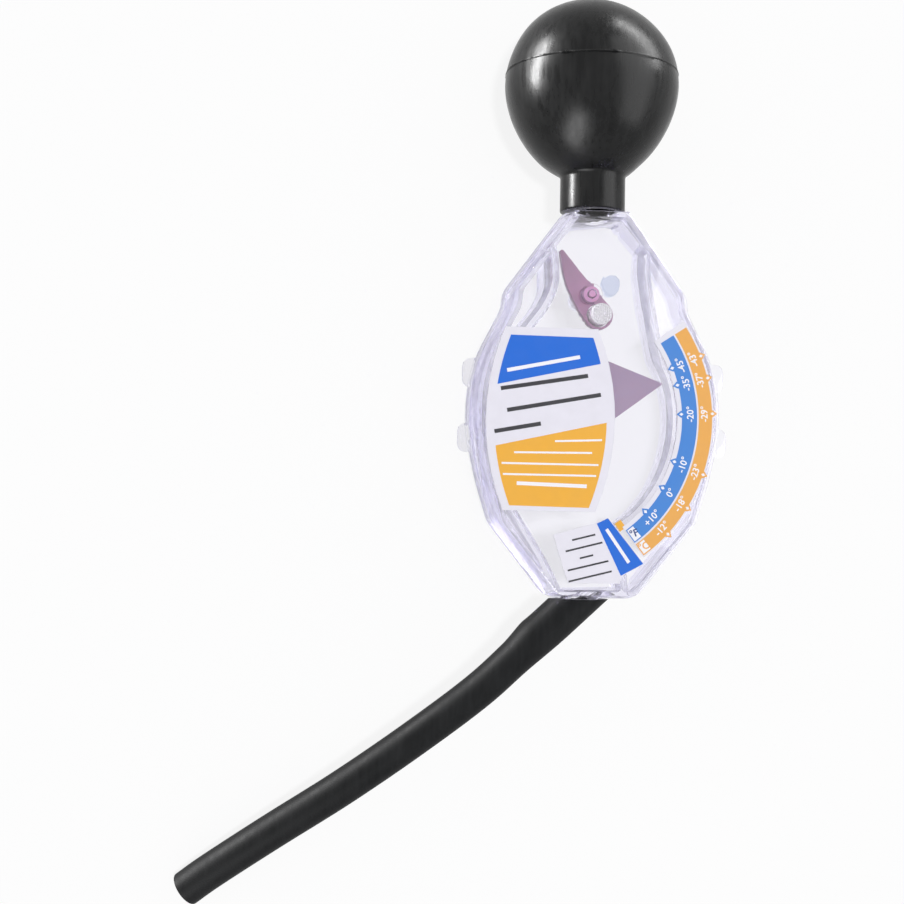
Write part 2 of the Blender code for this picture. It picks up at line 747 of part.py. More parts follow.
def barrel_outline():
    """The title label's outline, with bowed sides."""
    bow = TITLE_HALF_WIDTH - TITLE_END_HALF_WIDTH
    half = []
    for t in stepped(-1, 1, LABEL_BOW_STEPS):
        half.append((TITLE_HALF_WIDTH - bow * t * t, TITLE_HALF_LENGTH * t))
    ring = half + [(-x, y) for x, y in reversed(half)]
    across, down = shared(TITLE_SHARES)
    return [(across + x, down + y) for x, y in ring]


def labels(material, parent):
    """Three adhesive labels on the front face."""
    angles = stepped(SCALE_FOOT, SCALE_TOP, LABEL_ARC_STEPS)
    reach = SCALE_OUTER
    outlines = {
        "title_label": barrel_outline(),
        "scale_label": [polar(SCALE_INNER, a) for a in angles]
        + [polar(SCALE_OUTER, a) for a in reversed(angles)],
        "mix_label": [(DIAL_ACROSS + x * reach, DIAL_DOWN + y * reach) for x, y in MIX_SHARES],
    }
    low = HALF_DEPTH + LABEL_GAP
    for name, outline in outlines.items():
        mesh_object(name, [prism(outline, low, low + LABEL_THICKNESS)], material, parent)


def main():
    for thing in list(bpy.data.objects):
        bpy.data.objects.remove(thing, do_unlink=True)
    tester = bpy.data.objects.new("tester", None)
    bpy.context.scene.collection.objects.link(tester)
    tester.location = (0, TOP_Y, MID_HEIGHT)

    clear = finish("clear_plastic", (0.86, 0.85, 0.95), 0.08, alpha=0.35)
    mauve = finish("mauve_plastic", (0.42, 0.29, 0.42), 0.25, alpha=0.85)
    steel = finish("steel", (0.62, 0.61, 0.60), 0.3, metallic=1.0)
    bulb_rubber = finish("bulb_rubber", (0.025, 0.027, 0.028), 0.32)
    hose_rubber = finish("hose_rubber", (0.02, 0.02, 0.021), 0.45)
    film = finish("label_film", (0.85, 0.84, 0.9), 0.4)

    shell("front_shell", 1, clear, tester)
    shell("back_shell", -1, clear, tester)
    squeeze_bulb(bulb_rubber, tester)
    dial_pointer(mauve, steel, tester)
    level_arm(mauve, steel, tester)
    axle("pointer_axle", *shared(DIAL_SHARES), steel, tester)
    axle("level_axle", *shared(LEVEL_SHARES), steel, tester)
    labels(film, tester)
    pickup_hose(hose_rubber, tester)


if __name__ == "__main__":
    main()
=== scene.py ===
"""Dial antifreeze tester: clear shells, labels, rubber bulb and hose, swinging pointers.

Places on the housing are told as on the solids: across and down from the middle of its top edge,
and height from the plane where the two shells meet.
"""

from __future__ import annotations

import json
import logging
import math
from collections.abc import Iterable, Sequence
from dataclasses import dataclass
from enum import Enum

import bmesh
import bpy
from mathutils import Matrix, Vector, noise

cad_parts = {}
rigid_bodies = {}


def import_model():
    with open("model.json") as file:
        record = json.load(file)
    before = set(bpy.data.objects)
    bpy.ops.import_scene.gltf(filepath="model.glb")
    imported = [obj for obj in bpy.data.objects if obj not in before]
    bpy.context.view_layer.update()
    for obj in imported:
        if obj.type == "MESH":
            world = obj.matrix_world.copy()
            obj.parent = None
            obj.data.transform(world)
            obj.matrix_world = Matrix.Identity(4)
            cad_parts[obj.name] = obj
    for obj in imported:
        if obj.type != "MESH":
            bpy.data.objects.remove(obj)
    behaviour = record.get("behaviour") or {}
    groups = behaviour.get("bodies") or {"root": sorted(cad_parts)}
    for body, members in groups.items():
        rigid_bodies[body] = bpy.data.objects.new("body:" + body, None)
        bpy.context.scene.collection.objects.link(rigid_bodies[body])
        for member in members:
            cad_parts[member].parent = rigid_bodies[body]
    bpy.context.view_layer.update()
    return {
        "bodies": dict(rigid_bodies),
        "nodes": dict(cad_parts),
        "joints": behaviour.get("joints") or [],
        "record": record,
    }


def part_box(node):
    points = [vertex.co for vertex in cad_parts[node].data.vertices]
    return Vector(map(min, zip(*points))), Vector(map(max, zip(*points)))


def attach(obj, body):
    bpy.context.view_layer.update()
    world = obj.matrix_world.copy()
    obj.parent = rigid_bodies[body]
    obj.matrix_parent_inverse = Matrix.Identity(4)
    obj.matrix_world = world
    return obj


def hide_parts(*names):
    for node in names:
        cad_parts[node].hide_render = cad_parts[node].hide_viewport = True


LOG = logging.getLogger("tester")

Triple = tuple[float, float, float]
Pair = tuple[float, float]
Outline = list[Pair]
Ring = list[Vector]
Socket = bpy.types.NodeSocket
Wires = dict[str, Socket]
Look = dict[str, object]
Material = bpy.types.Material
Thing = bpy.types.Object

MM = 0.001
WELD = 1e-7
GAP = 0.3 * MM
# Angles between faces that count as one, and from which an edge is rounded
FLAT = math.radians(0.4)
SHARP = math.radians(28.0)
# Across and down places of the dial's centre, the level arm's centre and the post
DIAL = (-16.0 * MM, 60.5 * MM)
LEVEL = (-2.54 * MM, 24.9 * MM)
POST = (5.6 * MM, 19.8 * MM)
PLAIN_WHITE = (1.0, 1.0, 1.0, 1.0)


class Side(Enum):
    """The two halves of the housing, by their nodes."""

    FRONT = "front_shell"
    BACK = "back_shell"


class Ink(Enum):
    """Colours that the labels are printed in."""

    BLUE = (0.007, 0.133, 0.635)
    ORANGE = (0.820, 0.415, 0.046)
    SCALE_BLUE = (0.055, 0.221, 0.626)
    SCALE_ORANGE = (0.782, 0.386, 0.087)
    WHITE = (0.880, 0.870, 0.920)
    NAVY = (0.010, 0.040, 0.180)
    CHARCOAL = (0.028, 0.028, 0.034)


@dataclass(frozen=True)
class Datum:
    """Where the housing's own frame lies.

    Attributes:
        top: World Y of the housing's top edge.
        middle: World Z of the plane where the shells meet.
    """

    top: float
    middle: float

    def at(self, across: float, down: float, height: float = 0.0) -> Vector:
        """World place of a point of the housing's frame."""
        return Vector((across, self.top - down, self.middle + height))


# Mesh and node helpers


def stepped(start: float, end: float, count: int) -> list[float]:
    """Evenly spaced values from start to end, one more than count."""
    return [start + (end - start) * i / count for i in range(count + 1)]


def eased(low: float, high: float, value: float) -> float:
    """Smooth step from 0 at low to 1 at high."""
    t = min(1.0, max(0.0, (value - low) / (high - low)))
    return t * t * (3 - 2 * t)


def settle(thing: object, **settings: object) -> None:
    """Sets properties of a thing."""
    for key, value in settings.items():
        setattr(thing, key, value)


def travel(path: Sequence[Vector]) -> list[float]:
    """How far along a line each of its points is."""
    travelled = [0.0]
    for a, b in zip(path, path[1:]):
        travelled.append(travelled[-1] + (b - a).length)
    return travelled


def smooth_path(points: Sequence[Vector], steps: int) -> list[Vector]:
    """Catmull-Rom curve through points, with this many steps between two."""
    knots = [points[0] * 2 - points[1], *points, points[-1] * 2 - points[-2]]
    path = []
    for a, b, c, d in zip(knots, knots[1:], knots[2:], knots[3:]):
        for t in stepped(0, 1, steps)[:-1]:
            path.append(
                b + (c - a) * (t / 2)
                + (a * 2 - b * 5 + c * 4 - d) * (t * t / 2)
                + (b * 3 - a - c * 3 + d) * (t ** 3 / 2)
            )
    return [*path, knots[-2]]


def even_path(path: Sequence[Vector], count: int) -> list[Vector]:
    """The same line with count + 1 points at even distances."""
    travelled = travel(path)
    points = []
    index = 0
    for wanted in stepped(0, travelled[-1], count):
        while index < len(path) - 2 and travelled[index + 1] < wanted:
            index += 1
        share = (wanted - travelled[index]) / (travelled[index + 1] - travelled[index])
        points.append(path[index].lerp(path[index + 1], share))
    return points


def object_of(name: str, data: bpy.types.ID) -> Thing:
    """Links a new object with this data into the scene."""
    thing = bpy.data.objects.new(name, data)
    bpy.context.scene.collection.objects.link(thing)
    return thing


def mesh_of(name: str, work: bmesh.types.BMesh) -> bpy.types.Mesh:
    """Turns a work mesh into a mesh and frees it."""
    mesh = bpy.data.meshes.new(name)
    work.to_mesh(mesh)
    work.free()
    return mesh


def ringed(name: str, shapes: Iterable[list[Ring]], crease: float = 35.0) -> Thing:
    """An object from closed shapes, each a list of rings that are bridged.

    Args:
        name: Name of the object and its mesh.
        shapes: Shapes; a ring of one point closes an end, any other end ring gets a face.
        crease: Angle in degrees past which an edge is shaded sharp.

    Returns:
        The object, with faces pointing out.
    """
    work = bmesh.new()
    for rings in shapes:
        loops = [[work.verts.new(p) for p in ring] for ring in rings]
        for lower, upper in zip(loops, loops[1:]):
            for i in range(max(len(lower), len(upper))):
                ends = ((lower, i), (lower, i + 1), (upper, i + 1), (upper, i))
                corners = dict.fromkeys(loop[j % len(loop)] for loop, j in ends)
                work.faces.new(list(corners))
        for loop in (loops[0], loops[-1]):
            if len(loop) > 2 and rings[0] is not rings[-1]:
                work.faces.new(loop)
    bmesh.ops.remove_doubles(work, verts=work.verts, dist=WELD)
    bmesh.ops.recalc_face_normals(work, faces=work.faces)
    mesh = mesh_of(name, work)
    mesh.shade_smooth()
    mesh.set_sharp_from_angle(angle=math.radians(crease))
    return object_of(name, mesh)


def baked(thing: Thing) -> Thing:
    """Replaces an object's live modifiers by their result."""
    graph = bpy.context.evaluated_depsgraph_get()
    mesh = bpy.data.meshes.new_from_object(thing.evaluated_get(graph))
    thing.modifiers.clear()
    thing.data = mesh
    mesh.name = thing.name
    return thing


def painted(thing: Thing, material: Material) -> None:
    """Gives an object its only material."""
    thing.data.materials.clear()
    thing.data.materials.append(material)


class NodeBoard:
    """Adds and joins the nodes of one tree."""

    def __init__(self, tree: bpy.types.NodeTree) -> None:
        """Starts on an empty tree."""
        self.tree = tree
        tree.nodes.clear()

    def add(self, kind: str, inputs: dict | None = None, **settings: object) -> bpy.types.Node:
        """Adds a node.

        Args:
            kind: The node's type name.
            inputs: Socket name or number to a value, or to a socket linked there.
            **settings: Properties of the node.

        Returns:
            The node.
        """
        node = self.tree.nodes.new(kind)
        settle(node, **settings)
        for key, value in (inputs or {}).items():
            if isinstance(value, Socket):
                self.tree.links.new(value, node.inputs[key])
            else:
                node.inputs[key].default_value = value
        return node

    def out(
        self, kind: str, inputs: dict | None = None, output: int | str = 0, **settings: object
    ) -> Socket:
        """One output of a new node."""
        return self.add(kind, inputs, **settings).outputs[output]

    def maths(self, operation: str, first: object, second: object = 0.0) -> Socket:
        """Output of a Math node."""
        return self.out("ShaderNodeMath", {0: first, 1: second}, operation=operation)

    def ramp(
        self, value: Socket, start: float, end: float, low: float = 0.0, high: float = 1.0
    ) -> Socket:
        """A value spread from the range start to end over low to high."""
        spread = {"From Min": start, "From Max": end, "To Min": low, "To Max": high}
        return self.out("ShaderNodeMapRange", {"Value": value, **spread})

    def spread(self, value: Socket, low: float, high: float) -> Socket:
        """Noise from about 0.3 to 0.7 spread over low to high."""
        return self.ramp(value, 0.3, 0.7, low, high)

    def grain(self, place: Socket, scale: float, detail: float) -> Socket:
        """Noise from 0 to 1, of so many patches per metre and octaves."""
        settings = {"Vector": place, "Scale": scale, "Detail": detail}
        return self.out("ShaderNodeTexNoise", settings)

    def bumped(self, height: Socket, depth: float) -> Socket:
        """Normal of a surface raised by height times depth metres."""
        return self.out("ShaderNodeBump", {"Height": height, "Distance": depth, "Strength": 1.0})

    def disc(self, place: Socket, centre: Vector, radius: float, blur: float) -> Socket:
        """1 within a radius of a centre across the face, fading over its blur to 0."""
        flat = place
        for operation, by in (("SUBTRACT", centre), ("MULTIPLY", (1.0, 1.0, 0.0))):
            flat = self.out("ShaderNodeVectorMath", {0: flat, 1: by}, operation=operation)
        reach = self.out("ShaderNodeVectorMath", {0: flat}, 1, operation="LENGTH")
        return self.ramp(reach, radius * (1 + blur), radius * (1 - blur))

    def tinted(self, share: Socket, first: Socket | Triple, second: Triple) -> Socket:
        """Colour between two colours."""
        start = first if isinstance(first, Socket) else (*first, 1.0)
        inputs = {0: share, 6: start, 7: (*second, 1.0)}
        return self.out("ShaderNodeMix", inputs, 2, data_type="RGBA")

    def mixed(self, share: Socket, first: Socket, second: Socket) -> Socket:
        """Shader between two shaders."""
        return self.out("ShaderNodeMixShader", {0: share, 1: first, 2: second})

    def principled(self, inputs: dict) -> Socket:
        """Principled shader."""
        return self.out("ShaderNodeBsdfPrincipled", inputs)

    def background_rays(self, through_share: float = 1.0) -> Socket:
        """How much of the plain background a ray sees.

        Args:
            through_share: What a ray sees that clear plastic let through.

        Returns:
            1 for the camera's and reflected rays, 0 for those that gather light.
        """
        rays = self.add("ShaderNodeLightPath").outputs
        through = self.maths("MULTIPLY", rays["Is Transmission Ray"], through_share)
        mirrored = self.maths("SUBTRACT", rays["Is Glossy Ray"], rays["Is Transmission Ray"])
        direct = self.maths("MAXIMUM", rays["Is Camera Ray"], mirrored)
        seen = self.maths("MAXIMUM", direct, through)
        gathering = self.maths("MINIMUM", rays["Diffuse Depth"], 1.0)
        return self.maths("MULTIPLY", seen, self.maths("SUBTRACT", 1.0, gathering))


def repeated(name: str, sides: int, spots: Iterable[tuple[Vector, Triple, Triple]]) -> Thing:
    """Stands a rod at each spot with Geometry Nodes.

    Args:
        name: Name of the object.
        sides: Sides of the rod, which is 1 wide and 1 high before it's scaled.
        spots: Place, turn and size of each rod.

    Returns:
        The rods as one object.
    """
    places, *marks = zip(*spots)
    mesh = bpy.data.meshes.new(name)
    mesh.from_pydata(places, [], [])
    tree = bpy.data.node_groups.new(name, "GeometryNodeTree")
    for way in ("OUTPUT", "INPUT"):
        tree.interface.new_socket("Geometry", in_out=way, socket_type="NodeSocketGeometry")
    board = NodeBoard(tree)
    rod = {"Vertices": sides, "Radius": 0.5, "Depth": 1.0}
    stood = {
        "Points": board.out("NodeGroupInput"),
        "Instance": board.out("GeometryNodeMeshCylinder", rod),
    }
    for label, values in zip(("Rotation", "Scale"), marks):
        column = mesh.attributes.new(label.lower(), "FLOAT_VECTOR", "POINT")
        for item, value in zip(column.data, values):
            item.vector = value
        stood[label] = board.out(
            "GeometryNodeInputNamedAttribute", {"Name": column.name}, data_type="FLOAT_VECTOR"
        )
    rods = board.out("GeometryNodeInstanceOnPoints", stood)
    whole = board.out("GeometryNodeRealizeInstances", {"Geometry": rods})
    board.add("NodeGroupOutput", {0: whole})
    holder = object_of(name, mesh)
    holder.modifiers.new("rods", "NODES").node_group = tree
    return baked(holder)


# Finishes


@dataclass(frozen=True)
class Finish:
    """A named surface finish."""

    name: str

    def build(self) -> Material:
        """The finish as a material."""
        material = bpy.data.materials.new(self.name)
        material.use_nodes = True
        board = NodeBoard(material.node_tree)
        place = board.out("ShaderNodeTexCoord", output="Object")
        board.add("ShaderNodeOutputMaterial", self.wire(board, place))
        return material

    def wire(self, board: NodeBoard, place: Socket) -> Wires:
        """What goes where at the output: one shader, unless a finish adds more."""
        return {"Surface": board.principled(self.look(board, place))}

    def look(self, board: NodeBoard, place: Socket) -> Look:
        """Inputs of the finish's shader."""
        raise NotImplementedError


@dataclass(frozen=True)
class ClearPlastic(Finish):
    """Moulded clear plastic, tinted in its walls, with painted shade along its edges.

    Attributes:
        painted_edge_shade: Painted shade, a grey tint where a surface is seen edge on, for the dark
            outlines that bending light gives.
        depth_colour: Tint that deepens with the way through the plastic.
        shadow_colour: Tint of the light that it lets through.
        density: How fast the depth's tint deepens, per metre.
        softness: Share of the walls' light that passes without bending.
        wall: The normal's rise on a flat face and on a steep wall.
        rim: How far a surface is turned away where the painted edge shade starts and is full.
        post: Place of a moulded post that shows as a tinted disc.
    """

    colour: Triple = (0.984, 0.982, 1.0)
    wall_colour: Triple = (0.915, 0.905, 0.985)
    painted_edge_shade: Triple = (0.34, 0.33, 0.44)
    depth_colour: Triple = (0.77, 0.75, 0.91)
    shadow_colour: Triple = (0.99, 0.987, 1.0)
    density: float = 22.0
    softness: float = 0.42
    wall: Pair = (0.88, 0.45)
    rim: Pair = (0.80, 0.99)
    post: Vector | None = None
    post_radius: float = 2.75 * MM
    post_colour: Triple = (0.70, 0.75, 0.88)

    def tint(self, board: NodeBoard, place: Socket, wall: Socket) -> Socket:
        """Colour of the surface with its painted edge shade, where wall is 1 on a steep wall and 0
        on a flat face.
        """
        colour = board.tinted(wall, self.colour, self.wall_colour)
        # Painted shade: surfaces seen edge on turn grey, standing in for the dark outlines of bent
        # light.
        facing = board.out("ShaderNodeLayerWeight", {"Blend": 0.5}, "Facing")
        colour = board.tinted(board.ramp(facing, *self.rim), colour, self.painted_edge_shade)
        if self.post is not None:
            near = board.disc(place, self.post, self.post_radius, blur=0.03)
            colour = board.tinted(near, colour, self.post_colour)
        return colour

    def wire(self, board: NodeBoard, place: Socket) -> Wires:
        """Glass that lamps reach through, with absorption inside and soft walls."""
        normal = board.out("ShaderNodeNewGeometry", output="Normal")
        rise = board.maths("ABSOLUTE", board.out("ShaderNodeSeparateXYZ", {0: normal}, 2))
        wall = board.ramp(rise, *self.wall)
        tint = self.tint(board, place, wall)
        ripple = board.grain(place, scale=90.0, detail=2.0)
        glass = {
            "Base Color": tint,
            "Roughness": 0.035,
            "IOR": 1.45,
            "Transmission Weight": 1.0,
            "Normal": board.bumped(ripple, depth=0.04 * MM),
        }
        straight = board.out("ShaderNodeBsdfTransparent", {"Color": tint})
        share = board.maths("MULTIPLY", wall, self.softness)
        soft = board.mixed(share, board.principled(glass), straight)
        through = board.out("ShaderNodeBsdfTransparent", {"Color": (*self.shadow_colour, 1.0)})
        shadow_ray = board.out("ShaderNodeLightPath", output="Is Shadow Ray")
        depth = {"Color": (*self.depth_colour, 1.0), "Density": self.density}
        inside = board.out("ShaderNodeVolumeAbsorption", depth)
        return {"Surface": board.mixed(shadow_ray, soft, through), "Volume": inside}


@dataclass(frozen=True)
class MauvePlastic(Finish):
    """Mauve moulded plastic that glows paler round its hub."""

    colour: Triple
    pale: Triple
    hub: Vector
    hub_radius: float

    def look(self, board: NodeBoard, place: Socket) -> Look:
        """Satin plastic with faint flow marks and a paler hub."""
        flow = board.spread(board.grain(place, scale=120.0, detail=2.0), 0.0, 0.35)
        near = board.disc(place, self.hub, self.hub_radius, blur=0.04)
        share = board.maths("MAXIMUM", near, flow)
        return {
            "Base Color": board.tinted(share, self.colour, self.pale),
            "Roughness": 0.28,
            "IOR": 1.46,
            "Subsurface Weight": 0.15,
            "Subsurface Scale": 2 * MM,
            "Normal": board.bumped(flow, depth=0.02 * MM),
        }


@dataclass(frozen=True)
class Rubber(Finish):
    """Black rubber with a dull bloom, faint streaks and fine grain."""

    dark: Triple
    bloom: Triple
    gloss: float
    dull: float
    grain_depth: float
    shine: float = 0.18
    draw: Triple = (1.0, 0.12, 1.0)

    def look(self, board: NodeBoard, place: Socket) -> Look:
        """Dark rubber, patchy in colour and gloss."""
        drawn = board.out("ShaderNodeMapping", {"Vector": place, "Scale": self.draw})
        streaks = board.grain(drawn, scale=700.0, detail=4.0)
        patches = board.grain(place, scale=70.0, detail=4.0)
        fine = board.grain(place, scale=1500.0, detail=2.0)
        cloudy = board.maths("MULTIPLY", board.maths("ADD", patches, streaks), 0.5)
        rough = board.maths("MULTIPLY", board.maths("ADD", streaks, fine), 0.5)
        return {
            "Base Color": board.tinted(board.spread(cloudy, 0.0, 1.0), self.dark, self.bloom),
            "Roughness": board.spread(cloudy, self.gloss, self.dull),
            "IOR": 1.5,
            "Specular IOR Level": self.shine,
            "Normal": board.bumped(rough, self.grain_depth),
        }


@dataclass(frozen=True)
class TurnedSteel(Finish):
    """Bright steel with fine turning marks."""

    colour: Triple = (0.63, 0.62, 0.63)

    def look(self, board: NodeBoard, place: Socket) -> Look:
        """Metal with streaky gloss."""
        marks = board.grain(place, scale=2400.0, detail=4.0)
        return {
            "Base Color": (*self.colour, 1.0),
            "Metallic": 1.0,
            "Roughness": board.spread(marks, 0.22, 0.42),
            "Normal": board.bumped(marks, depth=0.01 * MM),
        }


@dataclass(frozen=True)
class PrintedFilm(Finish):
    """Label film or a field of ink on it, satin and a little uneven."""

    colour: Triple
    fade: float = 0.94

    def look(self, board: NodeBoard, place: Socket) -> Look:
        """Satin film whose colour wanders slightly."""
        cloud = board.spread(board.grain(place, scale=220.0, detail=4.0), 0.0, 1.0)
        peel = board.grain(place, scale=900.0, detail=2.0)
        faded = tuple(part * self.fade for part in self.colour)
        return {
            "Base Color": board.tinted(cloud, self.colour, faded),
            "Roughness": board.spread(cloud, 0.34, 0.44),
            "IOR": 1.45,
            "Normal": board.bumped(peel, depth=0.008 * MM),
        }


@dataclass(frozen=True)
class StudioFloor(Finish):
    """Pale floor that the camera sees as white, with the object's shadow on it.

    Attributes:
        white_share: Share of plain white in what the camera sees.
        through_share: The same through clear plastic, where the shadows of the labels show.
    """

    colour: Triple = (0.86, 0.86, 0.87)
    white_share: float = 0.86
    through_share: float = 0.78

    def wire(self, board: NodeBoard, place: Socket) -> Wires:
        """White to the camera and through clear plastic, pale to the lamps."""
        seen = board.background_rays(self.through_share / self.white_share)
        share = board.maths("MULTIPLY", seen, self.white_share)
        matt = {"Base Color": (*self.colour, 1.0), "Roughness": 0.9, "Specular IOR Level": 0.0}
        white = board.out("ShaderNodeEmission", {"Color": PLAIN_WHITE, "Strength": 1.0})
        return {"Surface": board.mixed(share, board.principled(matt), white)}


# Sub-assemblies


@dataclass
class SubAssembly:
    """Pieces of one part of the tester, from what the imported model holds."""

    frame: dict
    datum: Datum

    def hand_over(
        self, piece: Thing, body: str, slot: str, material: Material, replaces: Sequence[str] = ()
    ) -> None:
        """Gives a piece its finish and its body, and hides the nodes that it replaces.

        Args:
            piece: The piece.
            body: Body that it moves with.
            slot: The record's material slot; not used.
            material: Its finish.
            replaces: Nodes that it stands for.
        """
        painted(piece, material)
        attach(piece, body)
        if replaces:
            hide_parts(*replaces)
        LOG.info("%s rides on %s, %d faces", piece.name, body, len(piece.data.polygons))

    def dress(self, node: str, material: Material) -> None:
        """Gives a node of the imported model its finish."""
        painted(self.frame["nodes"][node], material)
        LOG.info("%s dressed in %s", node, material.name)

    def softened(self, node: str, name: str, width: float) -> Thing:
        """A copy of a node, with its edges rounded over a width."""
        work = bmesh.new()
        work.from_mesh(self.frame["nodes"][node].data)
        bmesh.ops.remove_doubles(work, verts=work.verts, dist=WELD * 10)
        bmesh.ops.dissolve_limit(work, angle_limit=FLAT, verts=work.verts, edges=work.edges)
        piece = object_of(name, mesh_of(name, work))
        piece.data.shade_smooth()
        bevel = piece.modifiers.new("soft_edges", "BEVEL")
        settle(bevel, limit_method="ANGLE", angle_limit=SHARP, width=width, segments=2)
        settle(bevel, harden_normals=True, use_clamp_overlap=True)
        return baked(piece)


@dataclass
class Housing(SubAssembly):
    """The two clear shells and the pins between them."""

    edge: float = 0.3 * MM

    def build(self, finishes: dict[Side, Material], steel: Material) -> None:
        """Makes the shells and dresses the pointer's pin."""
        for side, clear in finishes.items():
            piece = self.softened(side.value, f"clear_{side.value}", self.edge)
            self.hand_over(piece, "housing", "clear_plastic", clear, [side.value])
        self.dress("pointer_axle", steel)


@dataclass
class SqueezeBulb(SubAssembly):
    """The rubber bulb, a ball that tapers to its neck, with a ragged parting flash.

    Attributes:
        fullness: Power of the taper's curve, 2 for an ellipse.
        flash: How far the flash stands out.
        flash_rise: Its height over the widest place.
        nubs: Angles of the nubs on it.
        nub_width: Their width in radians.
        hollow_lean: Heights over the foot between which the hollow leans further aside.
        ball_lean: The same for the ball's outside.
        crown_lean: The same for the crown.
    """

    radius: float = 25.4 * MM
    length: float = 62.8 * MM
    taper: float = 29.3 * MM
    fullness: float = 1.8
    neck: float = 9.5 * MM
    fillet: float = 0.8 * MM
    lip: float = 0.5 * MM
    bore: float = 6.8 * MM
    wall: float = 2.4 * MM
    flash: float = 0.42 * MM
    flash_width: float = 0.7 * MM
    flash_rise: float = 3.5 * MM
    nubs: Triple = (1.50, 2.04, 4.2)
    nub_width: float = 0.04
    neck_shift: float = -1.1 * MM
    ball_shift: float = -1.9 * MM
    crown_shift: float = -2.6 * MM
    crown_drop: float = 0.35 * MM
    hollow_lean: Pair = (12 * MM, 22 * MM)
    ball_lean: Pair = (10 * MM, 15 * MM)
    crown_lean: Pair = (46 * MM, 60 * MM)
    steps: int = 180

    def flash_reach(self, turn: float) -> float:
        """How far the parting flash stands out at an angle round the bulb."""
        ragged = noise.noise(Vector((math.cos(turn) * 9, math.sin(turn) * 9, 1.7)))
        nub = max(math.exp(-(((turn - at) / self.nub_width) ** 2)) for at in self.nubs)
        torn = eased(1.9, 2.5, turn) - eased(3.6, 4.2, turn)
        ridge = eased(1.44, 1.50, turn) - eased(2.04, 2.10, turn)
        tear = 0.4 * torn * (0.6 + ragged)
        return self.flash * (0.4 + 0.25 * ragged + 1.5 * nub + 0.7 * ridge + tear)

    def shift(self, along: float, inside: bool) -> float:
        """How far the bulb, or its hollow, is shifted across at a height."""
        if inside:
            return self.ball_shift * eased(*self.hollow_lean, along)
        ball = (self.ball_shift - self.neck_shift) * eased(*self.ball_lean, along)
        crown = (self.crown_shift - self.ball_shift) * eased(*self.crown_lean, along)
        return self.neck_shift + ball + crown

    def lower_half(self, radius: float, taper: float, neck: float) -> list[Pair]:
        """(Radius, below) from the widest place down to a neck's radius."""
        reach = math.acos((neck / radius) ** (self.fullness / 2))
        power = 2 / self.fullness
        return [
            (radius * math.cos(a) ** power, taper * math.sin(a) ** power)
            for a in stepped(0, reach, 32)
        ]

    def upper_half(self, centre: float) -> list[Triple]:
        """(Radius, along, share of the flash) from the crown to the widest place."""
        rise = self.radius - self.crown_drop
        above, below = (
            math.acos((self.flash_rise + side * self.flash_width) / self.radius)
            for side in (0.5, -0.5)
        )
        flash = []
        for share, reach in ((0.3, 0.75), (0.0, 1.0), (-0.3, 0.75)):
            along = self.flash_rise + share * self.flash_width
            flash.append((math.sqrt(self.radius**2 - along**2), centre + along, reach))
        cap, rest = (
            [(self.radius * math.sin(a), centre + rise * math.cos(a), 0.0) for a in angles]
            for angles in (stepped(0, above, 30)[1:], stepped(below, math.pi / 2, 5))
        )
        return [(0.0, centre + rise, 0.0), *cap, *flash, *rest]

    def outside(self) -> list[Triple]:
        """(Radius, along, share of the flash) from the crown to the neck's foot."""
        centre = self.length - self.radius
        lower = self.lower_half(self.radius, self.taper, self.neck + self.fillet)
        waist = Vector((lower[-1][0], centre - lower[-1][1]))
        steepness = lower[-1][1] / self.taper * self.radius / waist.x
        slope = Vector((-self.radius / self.taper * steepness ** (self.fullness - 1), -1))
        corner = waist + slope * (self.fillet / -slope.x)
        neck_top = Vector((self.neck, corner.y - (corner - waist).length))
        curve = [
            waist * (1 - t) ** 2 + corner * 2 * t * (1 - t) + neck_top * t * t
            for t in stepped(0, 1, 6)[1:]
        ]
        foot = Vector((self.neck - self.lip, GAP + self.lip))
        curve += [
            foot + Vector((math.cos(a), -math.sin(a))) * self.lip
            for a in stepped(0, math.pi / 2, 4)
        ]
        points = self.upper_half(centre) + [(r, centre - d, 0.0) for r, d in lower[1:]]
        return points + [(p.x, p.y, 0.0) for p in curve]

    def hollow(self) -> list[Triple]:
        """The same points from the neck's foot to the hollow's top."""
        centre = self.length - self.radius
        inner = self.radius - self.wall
        lower = self.lower_half(inner, self.taper - self.wall, self.bore)
        points = [(self.bore, GAP, 0.0)]
        points += [(r, centre - d, 0.0) for r, d in reversed(lower)]
        for a in stepped(math.pi / 2, 0, 12)[1:-1]:
            points.append((inner * math.sin(a), centre + inner * math.cos(a), 0.0))
        return [*points, (0.0, centre + inner, 0.0)]

    def build(self, rubber: Material) -> None:
        """Makes the bulb."""
        rings = []
        profile = [(p, False) for p in self.outside()] + [(p, True) for p in self.hollow()]
        for (radius, along, flash), inside in profile:
            aside = self.shift(along, inside)
            if not radius:
                rings.append([self.datum.at(aside, -along)])
                continue
            ring = []
            for turn in stepped(0, math.tau, self.steps)[:-1]:
                reach = radius + flash * self.flash_reach(turn)
                across, height = reach * math.cos(turn), reach * math.sin(turn)
                ring.append(self.datum.at(aside + across, -along, height))
            rings.append(ring)
        bulb = ringed("rubber_bulb", [rings])
        self.hand_over(bulb, "housing", "bulb_rubber", rubber, ["squeeze_bulb"])


